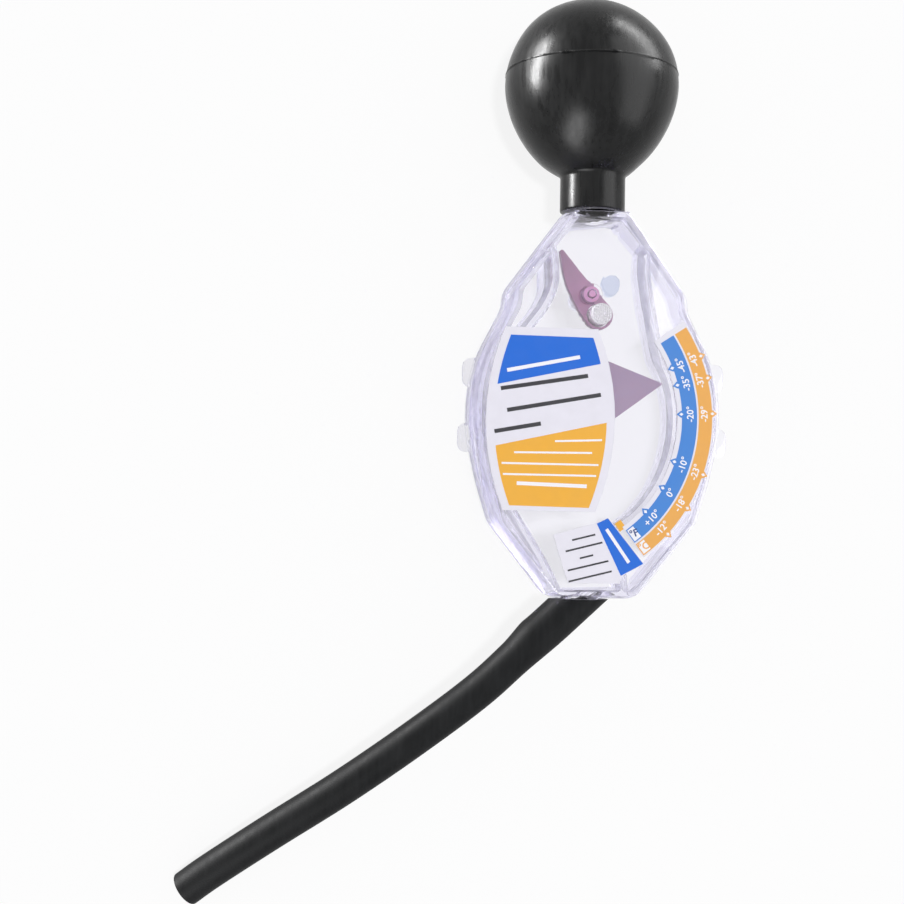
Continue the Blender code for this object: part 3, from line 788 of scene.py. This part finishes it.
@dataclass
class PickupHose(SubAssembly):
    """The rubber hose, stretched over the slanted nozzle and lying free.

    Attributes:
        foot: How far down the housing the nozzle starts.
        root: How far across it starts.
        slant: Its slant down from level.
        seat: How much of the hose is stretched over it.
        route: Millimetres across, down and up from there to points that the hose passes.
    """

    radius: float = 5.2 * MM
    bore: float = 3.6 * MM
    stretched: float = 5.95 * MM
    foot: float = 112.1 * MM
    root: float = -3.1 * MM
    slant: float = math.radians(43)
    seat: float = 18.0 * MM
    shoulder: float = 4.0 * MM
    lip: float = 0.3 * MM
    lip_steps: int = 4
    steps: int = 56
    route: tuple[Triple, ...] = (
        (-28.6, 27.1, -2.0),
        (-47.1, 41.7, -5.0),
        (-67.1, 56.3, -8.8),
        (-87.4, 70.0, -13.2),
        (-104.4, 82.0, -17.8),
        (-112.1, 88.0, -20.2),
    )

    def middle(self) -> list[Vector]:
        """Middle line of the hose, from the housing's foot to its free end."""
        start = self.datum.at(self.root, self.foot)
        along = Vector((-math.cos(self.slant), -math.sin(self.slant), 0.0))
        exit_point = start + along * (GAP / math.sin(self.slant))
        bend = start + along * (self.seat + self.shoulder)
        free = [start + Vector((x, -down, up)) * MM for x, down, up in self.route]
        straight = [start + along * s for s in stepped(self.stretched * 1.3, self.seat, 6)]
        return even_path([exit_point, *straight, *smooth_path([bend, *free], 10)], 88)

    def outer(self, travelled: float, upper: float) -> float:
        """Outer radius, where upper is 1 on the upper left side, which keeps the bend's step."""
        past = travelled - self.seat
        step = eased(-1 * MM, 7 * MM, past)
        slope = eased(-9 * MM, 13 * MM, past)
        slack = slope + (step - slope) * upper
        ring = math.exp(-(((past + 1.5 * MM) / (1.6 * MM)) ** 2)) * upper
        return self.stretched + (self.radius - self.stretched) * slack + 0.16 * MM * ring

    def build(self, rubber: Material) -> None:
        path = self.middle()
        travelled = travel(path)
        kept = [i for i, s in enumerate(travelled) if not 0 < s < self.stretched * 1.25]
        stations = [(path[i], travelled[i], 0.0) for i in kept]
        end, last = path[-1], (path[-1] - path[-2]).normalized()
        stations[-1:] = [
            (end - last * self.lip * (1 - math.sin(a)), travelled[-1], self.lip * (1 - math.cos(a)))
            for a in stepped(0, math.pi / 2, self.lip_steps)
        ]
        outside, inside = [], []
        side = Vector((0, 0, 1))
        for number, (centre, distance, rounding) in enumerate(stations):
            after = stations[min(number + 1, len(stations) - 1)][0]
            before = stations[max(number - 1, 0)][0]
            in_lip = number >= len(stations) - self.lip_steps
            along = last if in_lip else (after - before).normalized()
            side = (side - along * side.dot(along)).normalized()
            other = along.cross(side)
            for rings in (outside, inside):
                ring = []
                for turn in stepped(0, math.tau, self.steps)[:-1]:
                    spoke = side * math.cos(turn) + other * math.sin(turn)
                    upper = 0.5 + 0.5 * spoke.dot(Vector((along.y, -along.x, 0.0)))
                    radius = self.bore
                    if rings is outside:
                        radius = self.outer(distance, upper) - rounding
                    point = centre + spoke * radius
                    if number == 0:
                        point += along * ((centre.y - point.y) / along.y)
                    ring.append(point)
                rings.append(ring)
        hose = ringed("rubber_hose", [[*outside, *reversed(inside), outside[0]]])
        self.hand_over(hose, "housing", "hose_rubber", rubber, ["pickup_hose"])


@dataclass
class DialPointer(SubAssembly):
    """The weighted vane that swings over the dial."""

    edge: float = 0.25 * MM

    def build(self, mauve: Material, steel: Material) -> None:
        """Makes the vane and dresses its weight."""
        vane = self.softened("dial_pointer", "pointer_vane", self.edge)
        self.hand_over(vane, "dial_pointer", "mauve_plastic", mauve, ["dial_pointer"])
        self.dress("pointer_weight", steel)


@dataclass
class LevelArm(SubAssembly):
    """The small tapered arm with a reeded weight."""

    edge: float = 0.25 * MM
    reed_pitch: float = 0.62 * MM
    reed_height: float = 0.16 * MM
    reed_share: float = 0.62
    reeded_share: float = 0.96

    def reeds(self) -> Thing:
        """Half-sunk ridges across the weight's face, each as long as the face is wide."""
        low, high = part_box("level_weight")
        radius = (high[0] - low[0]) / 2 * self.reeded_share
        middle = Vector(((low[0] + high[0]) / 2, (low[1] + high[1]) / 2, high[2]))
        count = int(radius // self.reed_pitch)
        spots = []
        for across in stepped(-count * self.reed_pitch, count * self.reed_pitch, 2 * count):
            chord = 2 * math.sqrt(radius**2 - across**2)
            size = (self.reed_pitch * self.reed_share, self.reed_height * 2, chord)
            spots.append((middle + Vector((across, 0, 0)), (math.pi / 2, 0, 0), size))
        return repeated("weight_reeds", 10, spots)

    def build(self, mauve: Material, steel: Material) -> None:
        """Makes the arm and its reeded weight."""
        arm = self.softened("level_arm", "level_float", self.edge)
        self.hand_over(arm, "level_arm", "mauve_plastic", mauve, ["level_arm"])
        self.dress("level_axle", mauve)
        self.dress("level_weight", steel)
        self.hand_over(self.reeds(), "level_arm", "steel", steel)


@dataclass(frozen=True)
class Scale:
    """One of the two temperature scales.

    Attributes:
        ink: Ink of its band and marks.
        band: Inner and outer radius of its band.
        mark_radius: Where its marks stand.
        text_radius: Where its figures stand.
        figures: Each figure and its angle in degrees.
        unit: Its unit mark, and the ink and radius of that.
    """

    name: str
    ink: Ink
    band: Pair
    mark_radius: float
    text_radius: float
    figures: dict[str, float]
    unit: tuple[str, Ink, float]


FAHRENHEIT = Scale(
    name="fahrenheit",
    ink=Ink.SCALE_BLUE,
    band=(39.7 * MM, 44.1 * MM),
    mark_radius=39.5 * MM,
    text_radius=42.2 * MM,
    figures={"-45°": 22.0, "-35°": 14.6, "-20°": 2.4, "-10°": -17.6, "0°": -29.6, "+10°": -41.8},
    unit=("°F", Ink.NAVY, 41.9 * MM),
)
CELSIUS = Scale(
    name="celsius",
    ink=Ink.SCALE_ORANGE,
    band=(44.6 * MM, 48.5 * MM),
    mark_radius=48.6 * MM,
    text_radius=46.3 * MM,
    figures={"-43°": 22.4, "-37°": 14.6, "-29°": 2.4, "-23°": -18.6, "-18°": -31.1, "-12°": -42.1},
    unit=("°C", Ink.SCALE_ORANGE, 46.5 * MM),
)


@dataclass
class Labels(SubAssembly):
    """Three printed labels on the front face.

    Attributes:
        face: Height of the labels' face.
        layer: Height of one ink.
        sunk: Share of that by which an ink reaches into what it lies on.
        boldness: Share of a figure's height that its outline is thickened by.
        mark_width: A pointed mark's width, as a share of its length.
        title: Middle of the title label, across and down.
        title_half: Half its width and length.
        title_end: Half its width at its ends.
        margin: Bare film beside its fields.
        reach: Outer radius of the scale label, which the mix label is placed with.
    """

    film: Material
    inks: dict[Ink, Material]
    face: float = 11.40 * MM
    layer: float = 0.05 * MM
    sunk: float = 0.2
    boldness: float = 0.018
    mark_width: float = 0.78
    title: Pair = (-14.2 * MM, 61.2 * MM)
    title_half: Pair = (18.5 * MM, 26.0 * MM)
    title_end: float = 13.3 * MM
    margin: float = 2.4 * MM
    reach: float = 49.0 * MM
    arc_step: float = 1.5

    def polar(self, radius: float, degrees: float) -> Pair:
        """A place on the face round the dial's centre."""
        a = math.radians(degrees)
        return DIAL[0] + radius * math.cos(a), DIAL[1] - radius * math.sin(a)

    def band(self, inner: float, outer: float, top: float, foot: float) -> Outline:
        """Outline of a band between two radii and two angles in degrees."""
        angles = stepped(foot, top, max(1, round((top - foot) / self.arc_step)))
        return [self.polar(inner, a) for a in angles] + [self.polar(outer, a) for a in angles[::-1]]

    def barrel_side(self, down: float) -> float:
        """Half width of the title label at a place down it, less the margin."""
        share = (down - self.title[1]) / self.title_half[1]
        return self.title_half[0] - (self.title_half[0] - self.title_end) * share**2 - self.margin

    def field(self, left: Pair, right: Pair) -> Outline:
        """A field of the title label, from its top and foot on either side in millimetres."""
        near, far = (
            [(self.title[0] + sign * self.barrel_side(d * MM), d * MM) for d in stepped(*ends, 10)]
            for sign, ends in ((-1, left), (1, right))
        )
        return near + far[::-1]

    def laid(self, piece: Thing, ink: Ink) -> None:
        """Hands over a printed piece."""
        self.hand_over(piece, "housing", "label_film", self.inks[ink])

    def printed(self, name: str, outlines: Iterable[Outline], ink: Ink, layer: int = 0) -> None:
        """Prints fields of one ink, over so many layers of other inks."""
        heights = [self.face + self.layer * share for share in (layer - self.sunk, layer + 1)]
        shapes = [[[self.datum.at(x, y, h) for x, y in line] for h in heights] for line in outlines]
        self.laid(ringed(name, shapes), ink)

    def ruled(self, name: str, ink: Ink, layer: int, *lines: tuple[float, ...]) -> None:
        """Prints ruled lines, each told by its width and its ends in millimetres."""
        outlines = []
        for width, x0, y0, x1, y1 in lines:
            start, end = Vector((x0, y0)) * MM, Vector((x1, y1)) * MM
            aside = (end - start).normalized().orthogonal() * (width * MM / 2)
            corners = (start - aside, end - aside, end + aside, start + aside)
            outlines.append([(p.x, p.y) for p in corners])
        self.printed(name, outlines, ink, layer)

    def numerals(
        self,
        name: str,
        marks: Iterable[tuple[str, float, float]],
        size: float,
        ink: Ink,
        layer: int = 1,
        lean: float = 0.0,
    ) -> None:
        """Prints figures that stand along the dial, read from its foot up.

        Args:
            name: Name of the piece.
            marks: The text, radius and angle in degrees of each.
            size: Height of the lettering.
            ink: Their ink.
            layer: How many inks lie below it.
            lean: Degrees that each is turned further.
        """
        work = bmesh.new()
        half = self.layer * (1 + self.sunk) / 2
        height = self.face + self.layer * (layer - self.sunk) + half
        for text, radius, degrees in marks:
            curve = bpy.data.curves.new("figures", "FONT")
            settle(curve, body=text, size=size, align_x="CENTER", align_y="CENTER")
            settle(curve, offset=size * self.boldness, extrude=half, resolution_u=4)
            holder = bpy.data.objects.new("figures", curve)
            mesh = bpy.data.meshes.new_from_object(holder)
            turn = Matrix.Rotation(math.radians(degrees + 90 + lean), 4, "Z")
            place = self.datum.at(*self.polar(radius, degrees), height)
            mesh.transform(Matrix.Translation(place) @ turn)
            work.from_mesh(mesh)
            bpy.data.objects.remove(holder)
            bpy.data.curves.remove(curve)
        bmesh.ops.remove_doubles(work, verts=work.verts, dist=WELD)
        self.laid(object_of(name, mesh_of(name, work)), ink)

    def diamonds(self, name: str, scale: Scale, size: float, ink: Ink, layer: int) -> None:
        """Prints pointed marks at a scale's figures, over so many layers."""
        rise = self.layer * (layer + 1)
        shape = (size, size * self.mark_width, rise)
        spots = []
        for degrees in scale.figures.values():
            place = self.datum.at(*self.polar(scale.mark_radius, degrees), self.face + rise / 2)
            spots.append((place, (0, 0, math.radians(degrees)), shape))
        self.laid(repeated(name, 4, spots), ink)

    def print_title(self) -> None:
        """Prints the fields and ruled lines of the title label."""
        self.printed("title_blue_field", [self.field((37.5, 51.6), (37.7, 45.1))], Ink.BLUE)
        self.printed("title_orange_field", [self.field((69.0, 85.8), (61.8, 86.1))], Ink.ORANGE)
        self.ruled(
            "title_white_rules",
            Ink.WHITE,
            1,
            (1.05, -26.9, 47.6, -6.1, 43.3),
            (1.05, -23.6, 79.5, -3.6, 80.0),
            (0.55, -12.9, 67.4, 0.6, 66.8),
            (0.55, -24.5, 70.8, -2.2, 70.5),
            (0.55, -28.0, 73.9, -0.3, 73.9),
            (0.55, -27.6, 77.0, -0.9, 77.0),
        )
        self.ruled(
            "title_dark_rules",
            Ink.CHARCOAL,
            0,
            (1.15, -28.6, 52.8, -3.7, 48.6),
            (1.15, -26.7, 58.9, 0.1, 53.9),
            (1.15, -30.2, 65.0, -17.0, 62.5),
        )

    def print_scales(self) -> None:
        """Prints the two temperature scales."""
        top, foot, rim, edge = 33.3, -49.7, -53.1, 0.4
        line = 0.35 * MM
        scales = (FAHRENHEIT, CELSIUS)
        boxes = []
        for scale in scales:
            inner, outer = scale.band
            self.printed(f"{scale.name}_band", [self.band(inner, outer, top, rim)], scale.ink)
            boxes.append(self.band(inner + line, outer - line, foot, rim + edge))
        self.printed("unit_boxes", boxes, Ink.WHITE, 1)
        for scale in scales:
            self.diamonds(f"{scale.name}_marks", scale, 2.7 * MM, scale.ink, 1)
            self.diamonds(f"{scale.name}_mark_hearts", scale, 1.24 * MM, Ink.WHITE, 2)
            figures = [(text, scale.text_radius, a) for text, a in scale.figures.items()]
            self.numerals(f"{scale.name}_figures", figures, 2.7 * MM, Ink.WHITE)
        middle = (foot + rim + edge) / 2
        for scale in scales:
            text, ink, radius = scale.unit
            unit = [(text, radius, middle)]
            self.numerals(f"{scale.name}_unit", unit, 2.9 * MM, ink, layer=2, lean=-16.0)

    def print_mix(self) -> None:
        """Prints the mix label's blue end and ruled lines, and lays a chip beside it."""
        corners = ((0.316, 0.612), (0.381, 0.580), (0.593, 0.840), (0.462, 0.911))
        block = [(DIAL[0] + x * self.reach, DIAL[1] + y * self.reach) for x, y in corners]
        self.printed("mix_blue_block", [block], Ink.BLUE)
        self.ruled(
            "mix_dark_rules",
            Ink.CHARCOAL,
            0,
            (0.5, -7.5, 95.3, -0.9, 93.6),
            (0.5, -9.3, 98.5, 1.2, 95.8),
            (0.5, -5.2, 100.4, -1.4, 99.4),
            (0.5, -8.6, 103.9, 3.0, 101.0),
            (0.5, -8.3, 107.0, 4.0, 103.9),
        )
        self.ruled("mix_white_rule", Ink.WHITE, 1, (0.95, 2.3, 92.0, 8.9, 101.4))
        chip = self.band(36.4 * MM, 39.1 * MM, -52.2, -55.4)
        self.printed("dial_foot_chip", [chip], Ink.ORANGE, -4)

    def build(self) -> None:
        """Dresses the labels and prints on them."""
        for node in ("title_label", "scale_label", "mix_label"):
            self.dress(node, self.film)
        self.print_title()
        self.print_scales()
        self.print_mix()


# Studio


@dataclass
class Lamp:
    """A soft area lamp that looks at the object.

    Attributes:
        power: Its power in watts.
        lights: Whether it lights matt surfaces; if not, only gloss shows it.
        mirrored: Whether gloss shows it.
    """

    name: str
    place: Triple
    target: Triple
    size: Pair
    power: float
    lights: bool = True
    mirrored: bool = True

    def build(self) -> None:
        """Adds the lamp."""
        data = bpy.data.lights.new(self.name, "AREA")
        settle(data, shape="RECTANGLE", size=self.size[0], size_y=self.size[1], energy=self.power)
        if not self.lights:
            data.use_nodes = True
            board = NodeBoard(data.node_tree)
            depth = board.out("ShaderNodeLightPath", output="Diffuse Depth")
            strength = board.maths("LESS_THAN", depth, 0.5)
            glow = board.out("ShaderNodeEmission", {"Strength": strength})
            board.add("ShaderNodeOutputLight", {0: glow})
        aim = Vector(self.target) - Vector(self.place)
        settle(
            object_of(self.name, data),
            visible_diffuse=self.lights,
            visible_transmission=False,
            visible_glossy=self.mirrored,
            location=self.place,
            rotation_euler=aim.to_track_quat("-Z", "Y").to_euler(),
        )


@dataclass
class Studio:
    """Pale floor, plain light and the camera."""

    datum: Datum
    lens: float = 61.05
    eye: Triple = (-84.26 * MM, 88.27 * MM, 440.0 * MM)
    forward: Triple = (0.0978, 0.0397, -0.9944)
    up: Triple = (-0.0234, 0.9990, 0.0376)
    ambient: float = 0.48
    bounces: int = 32

    def camera(self) -> None:
        """The camera at the photograph's angle."""
        data = bpy.data.cameras.new("camera")
        settle(data, lens=self.lens, sensor_width=36.0, clip_start=0.01)
        eye = object_of("camera", data)
        back = -Vector(self.forward).normalized()
        right = Vector(self.up).cross(back).normalized()
        turn = Matrix((right, back.cross(right), back)).transposed().to_4x4()
        eye.matrix_world = Matrix.Translation(self.datum.at(*self.eye)) @ turn
        bpy.context.scene.camera = eye

    def floor(self) -> None:
        """The floor, which isn't part of the object."""
        mesh = bpy.data.meshes.new("floor")
        reach, low = 3.0, -0.05 * MM
        corners = ((-reach, -reach), (reach, -reach), (reach, reach), (-reach, reach))
        mesh.from_pydata([(x, y, low) for x, y in corners], [], [(0, 1, 2, 3)])
        mesh.materials.append(StudioFloor("studio_floor").build())
        object_of("floor", mesh)

    def world(self) -> None:
        """Even light all round, white where the camera or clear plastic looks."""
        world = bpy.data.worlds.new("studio")
        bpy.context.scene.world = world
        world.use_nodes = True
        board = NodeBoard(world.node_tree)
        lit, white = (
            board.out("ShaderNodeBackground", {"Color": PLAIN_WHITE, "Strength": strength})
            for strength in (self.ambient, 1.0)
        )
        mix = board.mixed(board.background_rays(), lit, white)
        board.add("ShaderNodeOutputWorld", {"Surface": mix})

    def build(self) -> None:
        """Sets the stage and the lamps."""
        self.camera()
        self.floor()
        self.world()
        key = ("key", (0.015, -0.065, 1.45), (0.0, 0.0, 0.0), (0.12, 0.12), 11.4)
        Lamp(*key, mirrored=False).build()
        bulb = (0.0, 0.06, 0.03)
        accents = (
            ("left_strip", (-1.03, 0.46, 0.07), (0.0, 0.07, 0.03), (0.95, 0.11), 58.0),
            ("right_softbox", (1.04, 0.25, 0.86), (0.0, 0.02, 0.02), (2.8, 1.1), 31.0),
            ("back_card", (0.80, 0.88, 0.17), bulb, (1.15, 0.32), 18.0),
            ("low_card", (-0.50, -0.90, 0.55), bulb, (0.45, 0.8), 11.0),
        )
        for accent in accents:
            Lamp(*accent, lights=False).build()
        cycles = bpy.context.scene.cycles
        cycles.max_bounces = cycles.transmission_bounces = self.bounces
        cycles.glossy_bounces = cycles.transparent_max_bounces = self.bounces
        bpy.context.scene.view_settings.view_transform = "Standard"


def main() -> None:
    """Builds the tester and its studio, placed by the sizes of the imported parts."""
    logging.basicConfig(level=logging.INFO, format="%(name)s: %(message)s")
    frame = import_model()
    bulb_low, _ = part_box("squeeze_bulb")
    front_low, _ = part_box("front_shell")
    _, back_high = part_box("back_shell")
    datum = Datum(bulb_low[1] - GAP, (front_low[2] + back_high[2]) / 2)

    Studio(datum).build()
    hose_rubber = Rubber(
        "hose_rubber",
        dark=(0.004, 0.0045, 0.005),
        bloom=(0.013, 0.0135, 0.0145),
        gloss=0.46,
        dull=0.62,
        grain_depth=0.04 * MM,
        shine=0.09,
    )
    bulb_rubber = Rubber(
        "bulb_rubber",
        dark=(0.003, 0.0032, 0.0035),
        bloom=(0.011, 0.0112, 0.0115),
        gloss=0.17,
        dull=0.40,
        grain_depth=0.03 * MM,
    )
    PickupHose(frame, datum).build(hose_rubber.build())
    SqueezeBulb(frame, datum).build(bulb_rubber.build())

    steel = TurnedSteel("steel").build()
    clear = {
        Side.FRONT: ClearPlastic("clear_front").build(),
        Side.BACK: ClearPlastic("clear_back", post=datum.at(*POST)).build(),
    }
    Housing(frame, datum).build(clear, steel)
    vane = MauvePlastic(
        "pointer_plastic", (0.415, 0.300, 0.445), (0.48, 0.35, 0.50), datum.at(*DIAL), 4.0 * MM
    )
    DialPointer(frame, datum).build(vane.build(), steel)
    arm = MauvePlastic(
        "level_plastic", (0.37, 0.225, 0.33), (0.71, 0.36, 0.60), datum.at(*LEVEL), 2.3 * MM
    )
    LevelArm(frame, datum).build(arm.build(), steel)

    film = PrintedFilm("label_film", (0.77, 0.755, 0.84)).build()
    inks = {ink: PrintedFilm(f"{ink.name.lower()}_ink", ink.value).build() for ink in Ink}
    Labels(frame, datum, film, inks).build()


if __name__ == "__main__":
    main()
